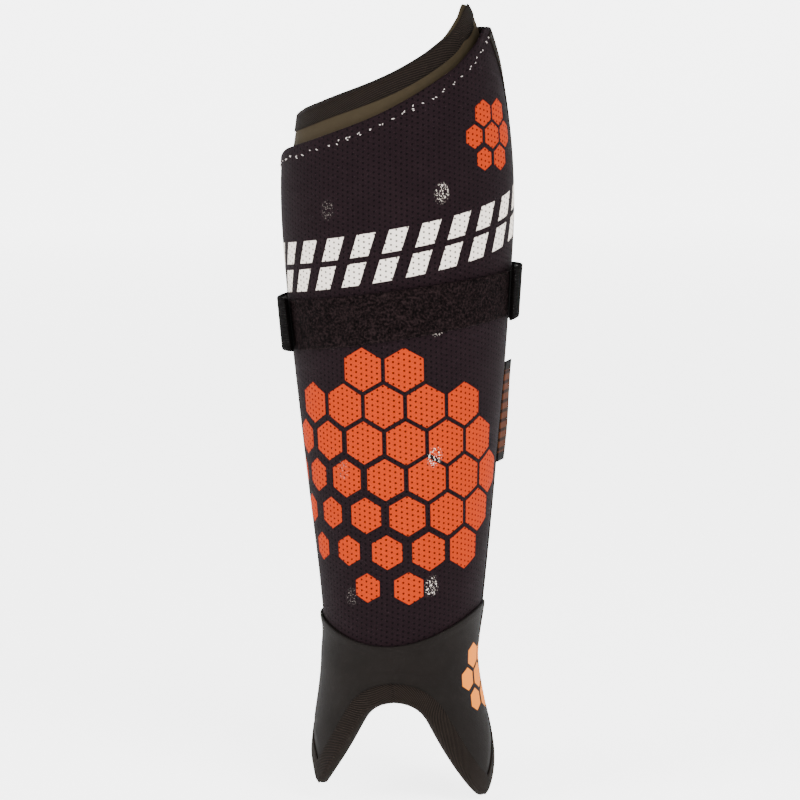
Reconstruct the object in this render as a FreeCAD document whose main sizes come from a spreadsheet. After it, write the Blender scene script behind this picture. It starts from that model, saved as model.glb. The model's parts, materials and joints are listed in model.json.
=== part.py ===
import FreeCAD, Part

import math
import os

# A shin guard with an ankle protector, for a left leg, in millimetres. +Z runs up the shin, the front
# faces -Y and the outer side of the leg is +X. The guard is a stack of curved layers. Every layer
# follows one bowed surface, whose plan at each height is an open ellipse, and is trimmed by outlines
# seen from the front (XZ) and from the side (YZ).

VECTOR = FreeCAD.Vector
UP = VECTOR(0, 0, 1)
ACROSS = VECTOR(1, 0, 0)

# Level, half width, depth and sideways shift of the outer surface at each named height of the leg.
STATIONS = {
    "foot": (-14, 40.0, 47.0, -1.0),
    "lobe": (20, 42.4, 43.0, -0.8),
    "neck": (64, 36.0, 39.5, -1.6),
    "ankle": (96, 38.3, 41.0, -0.2),
    "shin": (165, 45.6, 46.0, 0.0),
    "garter": (240, 52.7, 50.0, 0.0),
    "calf": (295, 55.2, 50.5, 0.0),
    "crown": (345, 49.6, 46.5, 0.0),
    "peak": (392, 40.5, 41.0, 0.0),
}

# The cover's top edge as seen from the front: how far across, and how high.
RIM = {
    "inner": (-57, 309.0),
    "inner_front": (-30, 317.6),
    "front": (2, 329.3),
    "outer_front": (31, 346.6),
    "outer": (41, 358.8),
    "summit": (44.5, 367.0),
    "fall": (52, 358.0),
}

# The liner's top edge, which stands above the cover and inside it.
LINER_RIM = {
    "inner": (-57, 322.5),
    "inner_front": (-31, 333.2),
    "front": (4, 346.9),
    "outer_front": (27, 361.8),
    "outer": (33.3, 371.2),
    "summit": (35.8, 377.6),
    "fall": (41, 364.0),
}

# The guard's free back edge as seen from the side, down to the toes of the lobes: how far back, and
# how high.
BACK = {
    "top": (-15, 386),
    "shoulder": (-2, 361),
    "crown": (14, 330),
    "calf": (20, 285),
    "shin": (17, 170),
    "ankle": (12, 92),
    "heel": (20, 51),
    "under_heel": (15, 32),
    "arch": (4, 16.5),
    "sole": (-5, 6),
    "toe": (-15, 0),
}

OUTLINES = {"rim": RIM, "liner": LINER_RIM, "back": BACK}

SIZES = {
    # The layers, from the outside in.
    "cover_thickness": 1.0,
    "shell_thickness": 2.4,
    "liner_thickness": 5.0,
    "lining_thickness": 0.8,
    "ankle_skin": 0.9,
    "ankle_foam": 5.0,
    "layer_gap": 0.1,
    "wrap_angle": 144,
    # Every layer is lofted through the same grid of levels and angles, so that layers stay parallel.
    "first_level": -14,
    "level_step": 16,
    "angle_step": 16,
    "body_bottom": 34,
    "body_top": 402,
    "ankle_bottom": -14,
    "ankle_top": 114,
    # The edges.
    "liner_lean": 2.2,
    "lean_start": 285,
    "lean_end": 325,
    "shell_drop": 6,
    "shell_inset": 4,
    "inner_end_fall": 4,
    "outer_end_fall": 20,
    "binding_width": 10,
    "binding_skin": 0.7,
    "side_binding_width": 7,
    "side_binding_drop": 0.4,
    "side_binding_start": 80,
    "lap_clearance": 0.3,
    # The seam between the mesh cover and the ankle cover, a shallow bow that dips at the front.
    "seam_height": 78.3,
    "seam_centre": -3,
    "seam_bow": 0.0089,
    "seam_lap": 8,
    # The arch over the instep.
    "arch_height": 51.5,
    "arch_centre": 0.9,
    "arch_radius": 18.4,
    "arch_inner_leg_angle": 57.1,
    "arch_outer_leg_angle": 61.4,
    "arch_tape_width": 8.5,
    "inner_lobe_foot": 6.5,
    "foot_tape_end": -6,
    "foot_tape_height": 8.5,
    # The vents through the shell, foam and lining.
    "vent_diameter": 8.6,
    "vent_angle": 29,
    "vent_first": 104,
    "vent_pitch": 61.3,
    "vent_rows": 4,
    "vent_drill_length": 20,
    "vent_drill_start": 2,
    # The loop band across the front, and the strap that follows it round the back.
    "band_slope": 0.139,
    "band_height": 234.8,
    "band_width": 23.5,
    "band_thickness": 1.8,
    "band_end_angle": 104,
    "strap_width": 25,
    "strap_rise": 30,
    "strap_thickness": 1.6,
    "hook_thickness": 1.2,
    "hook_gap": 0.35,
    "inner_tab_start": 59,
    "outer_tab_start": 76,
    "hook_inset": 2,
    "hook_end_angle": 106,
    "tab_end_angle": 112,
    "strap_hinge_angle": 115,
    "hinge_clearance": 2.2,
    # The side label on the outer back edge.
    "label_top": 207,
    "label_bottom": 159,
    "label_reach": 12,
    "label_inset": 5,
    "label_splay": 8,
    "label_thickness": 0.6,
    # The lobes of the ankle protector, which flex about a line on their outer skin.
    "flex_height": 58,
    "flex_reach": 38.9,
    "flex_fixed_angle": 28.8,
    "flex_free_angle": 12.5,
    "flex_gap": 0.3,
    # From the leg's axis at the level of the outer lobe's foot to the origin of the part.
    "origin_across": 0.605,
    "origin_depth": 1.636,
    "origin_height": 0,
    # Tool solids reach this far past the guard, and the ankle's tools this far up.
    "beyond": 90,
    "ankle_tools_top": 180,
}

document = FreeCAD.newDocument("shin_guard")
sheet = document.addObject("Spreadsheet::Sheet", "Sizes")


def fill_sheet():
    """One row per driving dimension: its name, and its value under that name as an alias."""
    rows = dict(SIZES)
    for place, (level, half_width, depth, sway) in STATIONS.items():
        rows[place + "_level"] = level
        rows[place + "_half_width"] = half_width
        rows[place + "_depth"] = depth
        rows[place + "_sway"] = sway
    for outline, places in OUTLINES.items():
        for place, (reach, height) in places.items():
            rows[f"{outline}_{place}_reach"] = reach
            rows[f"{outline}_{place}_height"] = height
    for row, (alias, value) in enumerate(rows.items(), start=1):
        sheet.set(f"A{row}", alias)
        sheet.set(f"B{row}", str(value))
        sheet.setAlias(f"B{row}", alias)
    document.recompute()


def size(alias):
    return float(getattr(sheet, alias))


fill_sheet()


# ---- The bowed surface -------------------------------------------------------------------------------


def station_value(kind, height):
    """A smooth curve through one column of the stations, read at this height."""
    levels = [size(place + "_level") for place in STATIONS]
    values = [size(place + "_" + kind) for place in STATIONS]
    last = len(levels) - 2
    here = max(k for k in range(last + 1) if k == 0 or levels[k] <= height)

    def slope(k):
        before, after = max(k - 1, 0), min(k + 1, last + 1)
        return (values[after] - values[before]) / (levels[after] - levels[before])

    span = levels[here + 1] - levels[here]
    part = (height - levels[here]) / span
    ease = part * part * (3 - 2 * part)
    rise_start = part * (1 - part) ** 2 * span * slope(here)
    rise_end = part * part * (part - 1) * span * slope(here + 1)
    return values[here] * (1 - ease) + values[here + 1] * ease + rise_start + rise_end


def smooth_step(low, high, value):
    part = min(max((value - low) / (high - low), 0), 1)
    return part * part * (3 - 2 * part)


def surface_point(degrees, height, offset):
    """The point at this angle round the leg (0 at the front, + to the outer side), offset outwards."""
    angle = math.radians(degrees)
    half_width = station_value("half_width", height) + offset
    depth = station_value("depth", height) + offset
    across = station_value("sway", height) + half_width * math.sin(angle)
    return VECTOR(across, -depth * math.cos(angle), height)


def plan_wire(height, outside, inside, start, end):
    """One closed crescent at this height, between two offsets and two angles."""
    steps = max(4, round(abs(end - start) / size("angle_step")))
    angles = [start + (end - start) * k / steps for k in range(steps + 1)]
    outer = [surface_point(angle, height, outside) for angle in angles]
    inner = [surface_point(angle, height, inside) for angle in reversed(angles)]
    outer_curve = Part.BSplineCurve()
    outer_curve.interpolate(outer)
    inner_curve = Part.BSplineCurve()
    inner_curve.interpolate(inner)
    edges = [
        outer_curve.toShape(),
        Part.makeLine(outer[-1], inner[0]),
        inner_curve.toShape(),
        Part.makeLine(inner[-1], outer[0]),
    ]
    return Part.Wire(edges)


def layer_shape(outside, inside, bottom, top, start, end, leans):
    """A curved slab between two offsets of the bowed surface, whose faces may draw in near its top."""
    first, step = size("first_level"), size("level_step")
    below, above = math.floor((bottom - first) / step), math.ceil((top - first) / step)
    wires = []
    for k in range(below, above + 1):
        height = first + k * step
        drawn_in = smooth_step(size("lean_start"), size("lean_end"), height)
        outer, inner = outside - leans[0] * drawn_in, inside - leans[1] * drawn_in
        wires.append(plan_wire(height, outer, inner, start, end))
    return Part.makeLoft(wires, True)


# ---- Outlines ----------------------------------------------------------------------------------------


def spline(points):
    curve = Part.BSplineCurve()
    curve.interpolate([VECTOR(u, v, 0) for u, v in points])
    return curve


def outline_points(outline, lift=0):
    """The points of a named outline, lifted by this much."""
    points = []
    for place in OUTLINES[outline]:
        reach, height = size(f"{outline}_{place}_reach"), size(f"{outline}_{place}_height")
        points.append((reach, height + lift))
    return points


def grown_points(points, grow):
    """Points moved square to the line through their neighbours, to the left of its run."""
    moved = []
    for k, (u, v) in enumerate(points):
        before, after = points[max(k - 1, 0)], points[min(k + 1, len(points) - 1)]
        run, rise = after[0] - before[0], after[1] - before[1]
        share = grow / math.hypot(run, rise)
        moved.append((u - rise * share, v + run * share))
    return moved


def rim_curve(lift, outline="rim"):
    """A slanted top edge, lifted by this much, from the inner side to the outer side."""
    points = outline_points(outline, lift)
    reach = size("beyond")
    far_inner = (-reach, points[0][1] - size("inner_end_fall"))
    far_outer = (reach, points[-1][1] - size("outer_end_fall"))
    return [spline([far_inner, *points, far_outer])]


def seam_curve(lift):
    """The bow where the ankle cover laps over the mesh cover."""
    points = []
    for share in (-1, -2 / 3, -1 / 3, 0, 1 / 3, 2 / 3, 1):
        out = share * size("beyond")
        rise = size("seam_bow") * out**2
        points.append((size("seam_centre") + out, size("seam_height") + rise + lift))
    return [spline(points)]


def band_curve(lift):
    """A straight line with the loop band's slant."""
    reach = size("beyond")
    low = size("band_height") - size("band_slope") * reach + lift
    high = size("band_height") + size("band_slope") * reach + lift
    return [Part.LineSegment(VECTOR(-reach, low, 0), VECTOR(reach, high, 0))]


def arch_curve(grow):
    """The two feet, the two straight legs and the round top of the arch, grown outwards by this much."""
    reach = size("beyond")
    radius = size("arch_radius") + grow
    centre = VECTOR(size("arch_centre"), size("arch_height") - size("arch_radius"), 0)

    def leg_ends(side, angle_alias, level):
        """Where this side's leg leaves the round top, and where it meets the foot."""
        lean = math.radians(size(angle_alias))
        top = centre + VECTOR(side * math.sin(lean), math.cos(lean), 0) * radius
        run = (top.y - level) / math.tan(lean)
        return top, VECTOR(top.x + side * run, level, 0)

    inner_top, inner_foot = leg_ends(-1, "arch_inner_leg_angle", size("inner_lobe_foot") + grow)
    outer_top, outer_foot = leg_ends(1, "arch_outer_leg_angle", grow)
    crest = centre + VECTOR(0, radius, 0)
    return [
        Part.LineSegment(VECTOR(-reach, inner_foot.y, 0), inner_foot),
        Part.LineSegment(inner_foot, inner_top),
        Part.Arc(inner_top, crest, outer_top),
        Part.LineSegment(outer_top, outer_foot),
        Part.LineSegment(outer_foot, VECTOR(reach, outer_foot.y, 0)),
    ]


def back_curve(grow):
    """The back edge of the guard down to the lobes' toes, then straight to the front, grown outwards."""
    points = grown_points(outline_points("back"), grow)
    toe_reach, toe_height = points[-1]
    toe = VECTOR(toe_reach, toe_height, 0)
    return [spline(points), Part.LineSegment(toe, VECTOR(-size("beyond"), toe_height, 0))]


def ends(curves):
    first, last = curves[0], curves[-1]
    return first.value(first.FirstParameter), last.value(last.LastParameter)


def sketch_between(name, upper, lower, rotation):
    """A closed sketch between two chains of curves, drawn on a plane through the origin."""
    sketch = document.addObject("Sketcher::SketchObject", name)
    sketch.Placement = FreeCAD.Placement(VECTOR(), rotation)
    upper_start, upper_end = ends(upper)
    lower_start, lower_end = ends(lower)
    sides = [Part.LineSegment(upper_start, lower_start), Part.LineSegment(upper_end, lower_end)]
    sketch.addGeometry(upper + lower + sides, False)
    return sketch


FRONT_VIEW = FreeCAD.Rotation(ACROSS, 90)
SIDE_VIEW = FreeCAD.Rotation(VECTOR(0, 1, 0), VECTOR(0, 0, 1), VECTOR(1, 0, 0), "ZXY")


def tool_between(name, upper, lower, rotation=FRONT_VIEW):
    """A solid that keeps what lies between two outlines: the sketch pushed right through the guard."""
    sketch = sketch_between(name + "_outline", upper, lower, rotation)
    tool = document.addObject("Part::Extrusion", name)
    tool.Base = sketch
    tool.DirMode = "Normal"
    tool.Solid = True
    tool.Symmetric = True
    tool.setExpression("LengthFwd", "2 * Sizes.beyond")
    return tool


def back_tool(name, outer_grow, inner_grow=None):
    """Keeps what lies in front of the back edge, or only a strip along it."""
    if inner_grow is None:
        reach = size("beyond")
        front = [Part.LineSegment(VECTOR(-reach, size("back_top_height"), 0), VECTOR(-reach, -reach, 0))]
        return tool_between(name, back_curve(outer_grow), front, SIDE_VIEW)
    return tool_between(name, back_curve(outer_grow), back_curve(inner_grow), SIDE_VIEW)


def rear_tool(name, bottom):
    """Keeps what lies behind the end of the foot tape, above this level."""
    front, reach, top = size("foot_tape_end"), size("beyond"), size("ankle_tools_top")
    before = [Part.LineSegment(VECTOR(front, top, 0), VECTOR(front, bottom, 0))]
    behind = [Part.LineSegment(VECTOR(reach, top, 0), VECTOR(reach, bottom, 0))]
    return tool_between(name, before, behind, SIDE_VIEW)


def flex_tool(name, side, angle, below):
    """Keeps what lies below, or above, a line that falls from the flex line on this side's outer skin."""
    reach = size("beyond")
    hinge = VECTOR(side * size("flex_reach"), size("flex_height"), 0)
    fall = math.tan(math.radians(angle)) * size("flex_reach")
    gap = -size("flex_gap") if below else size("flex_gap")
    pivot = hinge + VECTOR(0, gap, 0)
    middle = VECTOR(0, hinge.y - fall + gap, 0)
    far = VECTOR(side * reach, pivot.y, 0)
    line = [Part.LineSegment(far, pivot), Part.LineSegment(pivot, middle)]
    level = -reach if below else size("ankle_tools_top")
    rest = [Part.LineSegment(VECTOR(side * reach, level, 0), VECTOR(0, level, 0))]
    return tool_between(name, line, rest)


# ---- Document objects --------------------------------------------------------------------------------


def add_layer(name, outside, inside, levels, span=None, leans=(0, 0)):
    """A blank: an untrimmed curved slab, set in a feature of its own."""
    start, end = span or (-size("wrap_angle"), size("wrap_angle"))
    blank = document.addObject("Part::Feature", name)
    blank.Shape = layer_shape(outside, inside, *levels, start, end, leans)
    return blank


def combine(kind, label, base, tool):
    result = document.addObject(kind, label)
    result.Base = base
    result.Tool = tool
    return result


def keep(label, base, tool):
    return combine("Part::Common", label, base, tool)


def remove(label, base, tool):
    return combine("Part::Cut", label, base, tool)


nodes = []


def finish(label, feature):
    """Names a finished sub-part, which becomes one node."""
    feature.Label = label
    nodes.append(feature)
    return feature


# ---- Offsets of the layers ---------------------------------------------------------------------------

gap = size("layer_gap")
cover_inside = -size("cover_thickness")
shell_outside = cover_inside - gap
shell_inside = shell_outside - size("shell_thickness")
liner_outside = shell_inside - gap
liner_inside = liner_outside - size("liner_thickness")
lining_outside = liner_inside - gap
lining_inside = lining_outside - size("lining_thickness")
skin_outside = size("ankle_skin") + gap
ankle_foam_inside = -size("ankle_foam")
ankle_lining_outside = ankle_foam_inside - gap
ankle_lining_inside = ankle_lining_outside - size("lining_thickness")

body_levels = (size("body_bottom"), size("body_top"))
ankle_levels = (size("ankle_bottom"), size("ankle_top"))
liner_leans = (size("liner_lean"), size("liner_lean"))


# ---- Vents -------------------------------------------------------------------------------------------


def vent_drills():
    """Two slanted columns of round drills, square to the front of the shell."""
    drills = []
    for row in range(int(size("vent_rows"))):
        for side in (-1, 1):
            level = size("vent_first") + row * size("vent_pitch")
            angle = side * size("vent_angle")
            level += size("band_slope") * surface_point(angle, level, 0).x
            drill = document.addObject("Part::Cylinder", f"vent_drill_{row}_{side + 1}")
            drill.setExpression("Radius", "Sizes.vent_diameter / 2")
            drill.setExpression("Height", "Sizes.vent_drill_length")
            inner = surface_point(angle, level, lining_inside - size("vent_drill_start"))
            outward = surface_point(angle, level, 0) - inner
            drill.Placement = FreeCAD.Placement(inner, FreeCAD.Rotation(UP, outward))
            drills.append(drill)
    fused = document.addObject("Part::MultiFuse", "vent_drills")
    fused.Shapes = drills
    return fused


# ---- The guard's body --------------------------------------------------------------------------------


def make_cover(back):
    region = tool_between("cover_region", rim_curve(0), seam_curve(-size("seam_lap")))
    blank = add_layer("cover_blank", 0, cover_inside, body_levels)
    return finish("mesh_cover", keep("mesh_cover", keep("cover_front", blank, region), back))


def make_shell(vents):
    region = tool_between("shell_region", rim_curve(-size("shell_drop")), seam_curve(-size("seam_lap")))
    edge = back_tool("shell_edge", -size("shell_inset"))
    blank = add_layer("shell_blank", shell_outside, shell_inside, body_levels)
    trimmed = keep("shell_trimmed", keep("shell_front", blank, region), edge)
    return finish("hard_shell", remove("hard_shell", trimmed, vents))


def make_inner_layer(label, outside, inside, region, back, vents):
    """The foam liner or the lining: both stand above the cover and lean in at the top."""
    blank = add_layer(label + "_blank", outside, inside, body_levels, leans=liner_leans)
    trimmed = keep(label + "_trimmed", keep(label + "_front", blank, region), back)
    return finish(label, remove(label, trimmed, vents))


def make_top_binding(back):
    """The tape folded over the liner's top edge: a strip round the foam and lining, less the two."""
    skin = size("binding_skin")
    low_edge = rim_curve(-size("binding_width"), "liner")
    strip = tool_between("top_tape_strip", rim_curve(skin, "liner"), low_edge)
    wrap = (liner_outside + skin, lining_inside - skin)
    outer = add_layer("top_tape_blank", *wrap, body_levels, leans=liner_leans)
    core_region = tool_between("top_core_region", rim_curve(gap, "liner"), seam_curve(0))
    core_offsets = (liner_outside + gap, lining_inside - gap)
    core = add_layer("top_core_blank", *core_offsets, body_levels, leans=liner_leans)
    tape = keep("top_tape_trimmed", keep("top_tape_front", outer, strip), back)
    return finish("liner_top_binding", remove("liner_top_binding", tape, keep("top_core", core, core_region)))


def make_side_bindings(rear_strip, rear_core):
    """A tape along each back edge of the body, round the cover, shell, foam and lining."""
    skin = size("binding_skin")
    top, bottom = rim_curve(-size("side_binding_drop")), seam_curve(size("lap_clearance"))
    region = tool_between("side_tape_region", top, bottom)
    leans = (0, size("liner_lean"))
    for label, sign in (("side_binding_left", -1), ("side_binding_right", 1)):
        span = sorted((sign * size("side_binding_start"), sign * size("wrap_angle")))
        blank = add_layer(label + "_blank", skin, lining_inside - skin, body_levels, span, leans)
        core = add_layer(label + "_core", gap, lining_inside - gap, body_levels, leans=leans)
        strip = keep(label + "_strip", keep(label + "_front", blank, region), rear_strip)
        finish(label, remove(label, strip, keep(label + "_filling", core, rear_core)))


# ---- The loop band and the strap ---------------------------------------------------------------------


def strap_section(label, outside, inside, width_alias, span):
    """A piece of band or webbing that follows the slanted line: a curved slab between two planes."""
    half = size(width_alias) / 2
    slab = tool_between(label + "_slab", band_curve(half), band_curve(-half))
    low, high = size("band_height") - size("strap_rise"), size("band_height") + size("strap_rise")
    blank = add_layer(label + "_blank", outside, inside, (low, high), span)
    return finish(label, keep(label, blank, slab))


def make_straps():
    band_inside = gap
    band_outside = band_inside + size("band_thickness")
    end = size("band_end_angle")
    strap_section("front_loop_band", band_outside, band_inside, "band_width", (-end, end))
    hook_inside = band_outside + size("hook_gap")
    hook_outside = hook_inside + size("hook_thickness")
    webbing_inside = hook_outside + gap
    webbing_outside = webbing_inside + size("strap_thickness")
    tab_end = size("tab_end_angle")
    for side, sign, start_alias in (("left", -1, "inner_tab_start"), ("right", 1, "outer_tab_start")):
        hook_start = size(start_alias) + size("hook_inset")
        patch_span = sorted((sign * hook_start, sign * size("hook_end_angle")))
        tab_span = sorted((sign * size(start_alias), sign * tab_end))
        strap_section("hook_patch_" + side, hook_outside, hook_inside, "band_width", patch_span)
        strap_section("hook_tab_" + side, webbing_outside, webbing_inside, "strap_width", tab_span)
    back_start = size("strap_hinge_angle") + size("hinge_clearance")
    back_span = (back_start, 360 - back_start)
    strap_section("calf_strap", webbing_outside, webbing_inside, "strap_width", back_span)


# ---- The side label ----------------------------------------------------------------------------------


def origin_plane(body, role):
    return next(plane for plane in body.Origin.OriginFeatures if plane.Role == role)


def make_label():
    """A flat woven tag sewn to the outer back edge: a rectangle padded by its thickness."""
    body = document.addObject("PartDesign::Body", "side_label")
    sketch = body.newObject("Sketcher::SketchObject", "label_outline")
    sketch.AttachmentSupport = (origin_plane(body, "YZ_Plane"), "")
    sketch.MapMode = "FlatFace"
    reach = size("label_reach")
    tall = size("label_top") - size("label_bottom")
    corners = [VECTOR(0, 0, 0), VECTOR(reach, 0, 0), VECTOR(reach, tall, 0), VECTOR(0, tall, 0)]
    for k in range(4):
        sketch.addGeometry(Part.LineSegment(corners[k], corners[(k + 1) % 4]), False)
    pad = body.newObject("PartDesign::Pad", "label_pad")
    pad.Profile = sketch
    pad.setExpression("Length", "Sizes.label_thickness")
    top_root = label_root(size("label_top"))
    bottom_root = label_root(size("label_bottom"))
    tilt = FreeCAD.Rotation(UP, top_root - bottom_root)
    splay = FreeCAD.Rotation(UP, -size("label_splay"))
    body.Placement = FreeCAD.Placement(bottom_root, tilt.multiply(splay))
    return finish("side_label", body)


def label_root(height):
    """Where the label leaves the outer side binding at this height."""
    edge = back_depth(height) - size("label_inset")
    depth = station_value("depth", height)
    bow = math.sqrt(1 - (edge / depth) ** 2)
    across = station_value("half_width", height) * bow + size("binding_skin") + size("layer_gap")
    return VECTOR(across, edge, height)


def back_depth(height):
    """How far back the back edge lies at this height, read off its curve."""
    curve = back_curve(0)[0]
    low, high = curve.FirstParameter, curve.LastParameter
    for _ in range(40):
        middle = (low + high) / 2
        if curve.value(middle).y > height:
            low = middle
        else:
            high = middle
    return curve.value(low).x


# ---- The ankle protector -----------------------------------------------------------------------------


def make_ankle(back):
    """The fixed front of the ankle protector and its two lobes, in skin, foam, lining and tape."""
    free_angle = size("flex_fixed_angle") + size("flex_free_angle")
    fixed_left = flex_tool("fixed_left", -1, size("flex_fixed_angle"), below=False)
    fixed_right = flex_tool("fixed_right", 1, size("flex_fixed_angle"), below=False)
    fixed = document.addObject("Part::MultiFuse", "fixed_region")
    fixed.Shapes = [fixed_left, fixed_right]
    places = {
        "": fixed,
        "_left": flex_tool("lobe_left", -1, free_angle, below=True),
        "_right": flex_tool("lobe_right", 1, free_angle, below=True),
    }
    make_ankle_layers(places, back)
    core = ankle_core()
    blank = ankle_tape_blank()
    make_arch_bindings(places, blank, core)
    make_heel_bindings(places, fixed_left, fixed_right, blank, core)


def make_ankle_layers(places, back):
    """The skin, which laps over the cover, and the foam and lining, which butt against the liner."""
    lap_end = -size("seam_lap") - size("lap_clearance")
    layers = {
        "ankle_cover": (skin_outside, gap, seam_curve(0)),
        "ankle_foam": (0, ankle_foam_inside, seam_curve(lap_end)),
        "ankle_lining": (ankle_lining_outside, ankle_lining_inside, seam_curve(lap_end)),
    }
    for label, (outside, inside, top) in layers.items():
        blank = add_layer(label + "_blank", outside, inside, ankle_levels)
        region = tool_between(label + "_region", top, arch_curve(size("binding_skin")))
        trimmed = keep(label + "_trimmed", keep(label + "_front", blank, region), back)
        for place, tool in places.items():
            finish(label + place, keep(label + place, trimmed, tool))


def ankle_tape_blank():
    skin = size("binding_skin")
    return add_layer("ankle_tape_blank", skin_outside + skin, ankle_lining_inside - skin, ankle_levels)


def ankle_core():
    """What the ankle's tapes fold round: its three layers, and the end of the body in the lap."""
    lap = size("seam_lap")
    layers = add_layer("ankle_core_blank", skin_outside + gap, ankle_lining_inside - gap, ankle_levels)
    layers_edge = arch_curve(size("binding_skin") - gap)
    layers_region = tool_between("ankle_core_region", seam_curve(lap), layers_edge)
    body_end = add_layer("lap_core_blank", gap, lining_inside, ankle_levels)
    body_end_region = tool_between("lap_core_region", seam_curve(lap), seam_curve(-lap - gap))
    both = document.addObject("Part::MultiFuse", "ankle_core_layers")
    both.Shapes = [
        keep("ankle_core_front", layers, layers_region),
        keep("lap_core_front", body_end, body_end_region),
    ]
    return keep("ankle_core", both, back_tool("ankle_core_edge", gap))


def make_arch_bindings(places, blank, core):
    """Tape folded round the arch and under the lobes' feet."""
    region = tool_between("arch_tape_region", arch_curve(size("arch_tape_width")), arch_curve(0))
    edge = back_tool("ankle_tape_edge", size("binding_skin"))
    trimmed = keep("arch_tape_trimmed", keep("arch_tape_front", blank, region), edge)
    folded = remove("arch_tape_folded", trimmed, core)
    tape = remove("arch_tape", folded, rear_tool("above_foot_tape", size("foot_tape_height")))
    for place, tool in places.items():
        finish("arch_binding" + place, keep("arch_binding" + place, tape, tool))


def make_heel_bindings(places, fixed_left, fixed_right, blank, core):
    """Tape folded round the back edges, from the foot tape up to the seam."""
    above_arch = tool_between("heel_tape_region", seam_curve(0), arch_curve(0))
    above_foot_tape = rear_tool("heel_tape_rear", size("foot_tape_height") + gap)
    strip = back_tool("heel_strip", size("binding_skin"), -size("side_binding_width"))
    rear = keep("heel_tape_rear_half", keep("heel_tape_front", blank, above_arch), above_foot_tape)
    tape = remove("heel_tape", keep("heel_tape_trimmed", rear, strip), core)
    heel_places = {
        "ankle_binding_left": fixed_left,
        "ankle_binding_right": fixed_right,
        "heel_binding_left": places["_left"],
        "heel_binding_right": places["_right"],
    }
    for label, tool in heel_places.items():
        finish(label, keep(label, tape, tool))


# ---- Build, check and write --------------------------------------------------------------------------


def check_and_write():
    for node in nodes:
        to_origin = VECTOR(size("origin_across"), size("origin_depth"), size("origin_height"))
        node.Placement = FreeCAD.Placement(node.Placement.Base - to_origin, node.Placement.Rotation)
    document.recompute()
    for thing in document.Objects:
        if {"Invalid", "Error"} & set(thing.State):
            raise RuntimeError(f"{thing.Label} failed to build: {thing.State}")
    os.makedirs("parts", exist_ok=True)
    for node in nodes:
        shape = node.Shape
        if shape.isNull() or not shape.isValid() or not shape.Solids:
            raise RuntimeError(f"{node.Label} has no valid solid")
        print(f"{node.Label}: {len(shape.Solids)} solid(s), {shape.Volume / 1000:.2f} cm3")
        shape.exportStep(f"parts/{node.Label}.step")


back_region = back_tool("back_region", 0)
drills = vent_drills()
make_cover(back_region)
make_shell(drills)
inner_region = tool_between("inner_region", rim_curve(0, "liner"), seam_curve(-size("seam_lap")))
make_inner_layer("foam_liner", liner_outside, liner_inside, inner_region, back_region, drills)
make_inner_layer("inner_lining", lining_outside, lining_inside, inner_region, back_region, drills)
make_top_binding(back_region)
side_strip = back_tool("side_strip", size("binding_skin"), -size("side_binding_width"))
side_core = back_tool("side_core", gap)
make_side_bindings(side_strip, side_core)
make_straps()
make_label()
make_ankle(back_region)
check_and_write()
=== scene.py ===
import json
import math
import random

import bpy
import numpy as np
from mathutils import Matrix, Vector


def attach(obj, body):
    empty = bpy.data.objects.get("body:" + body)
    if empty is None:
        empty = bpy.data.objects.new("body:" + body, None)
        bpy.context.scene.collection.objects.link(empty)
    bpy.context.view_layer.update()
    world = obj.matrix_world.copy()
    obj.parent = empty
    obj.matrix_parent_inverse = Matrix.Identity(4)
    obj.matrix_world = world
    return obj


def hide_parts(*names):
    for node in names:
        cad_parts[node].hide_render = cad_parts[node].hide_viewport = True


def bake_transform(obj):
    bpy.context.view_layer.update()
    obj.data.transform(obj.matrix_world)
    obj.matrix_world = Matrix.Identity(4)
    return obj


# A left leg's shin guard with an ankle protector. Shapes are worked out in millimetres about the leg's
# axis, on the same bowed surface as the CAD model, and are turned into metres as each mesh is made.

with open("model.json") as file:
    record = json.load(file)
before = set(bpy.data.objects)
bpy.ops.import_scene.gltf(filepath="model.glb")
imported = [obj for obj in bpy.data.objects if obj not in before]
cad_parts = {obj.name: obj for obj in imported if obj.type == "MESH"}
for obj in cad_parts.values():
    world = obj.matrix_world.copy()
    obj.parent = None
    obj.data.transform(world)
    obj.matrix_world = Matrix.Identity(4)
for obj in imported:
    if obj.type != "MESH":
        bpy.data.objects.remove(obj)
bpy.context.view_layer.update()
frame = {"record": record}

MM = 0.001
MOUNTS = {mount["name"]: mount for mount in frame["record"]["mounts"]}
LEG_AXIS = np.array(MOUNTS["leg_axis"]["pos_m"])


# ---- The bowed surface -------------------------------------------------------------------------------


class SmoothCurve:
    """A smooth curve through a few points. The slope at each comes from the points beside it."""

    def __init__(self, points):
        self.keys, self.values = (np.array(column, float) for column in zip(*points))
        before = np.concatenate(([0], np.arange(len(points) - 1)))
        after = np.concatenate((np.arange(1, len(points)), [len(points) - 1]))
        rise = self.values[after] - self.values[before]
        self.slopes = rise / (self.keys[after] - self.keys[before])

    def __call__(self, at):
        at = np.asarray(at, float)
        here = np.clip(np.searchsorted(self.keys, at) - 1, 0, len(self.keys) - 2)
        span = self.keys[here + 1] - self.keys[here]
        part = np.clip((at - self.keys[here]) / span, 0, 1)
        ease = part * part * (3 - 2 * part)
        start = part * (1 - part) ** 2 * span * self.slopes[here]
        end = part * part * (part - 1) * span * self.slopes[here + 1]
        past = at - np.clip(at, self.keys[0], self.keys[-1])
        past = past * np.where(past < 0, self.slopes[0], self.slopes[-1])
        return self.values[here] * (1 - ease) + self.values[here + 1] * ease + start + end + past


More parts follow.
